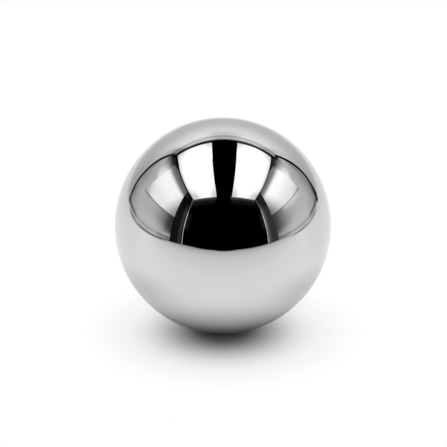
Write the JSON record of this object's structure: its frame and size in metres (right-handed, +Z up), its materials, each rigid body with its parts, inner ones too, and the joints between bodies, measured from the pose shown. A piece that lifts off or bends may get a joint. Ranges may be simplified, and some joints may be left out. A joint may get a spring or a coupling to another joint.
{
  "type": "steel ball",
  "caption": "Solid polished steel ball, a true sphere with a mirror finish, for rolling, weighting or seating in a cup, race or magnet.",
  "frame": {"origin": "centre of the ball", "axes": "+Z up, away from the surface that the ball lies on; the ball is the same about every axis through its centre"},
  "size_m": [0.0254, 0.0254, 0.0254],
  "materials": {
    "polished_steel": "polished"
  },
  "bodies": {
    "root": {"steel_ball": "polished_steel"}
  },
  "joints": []
}
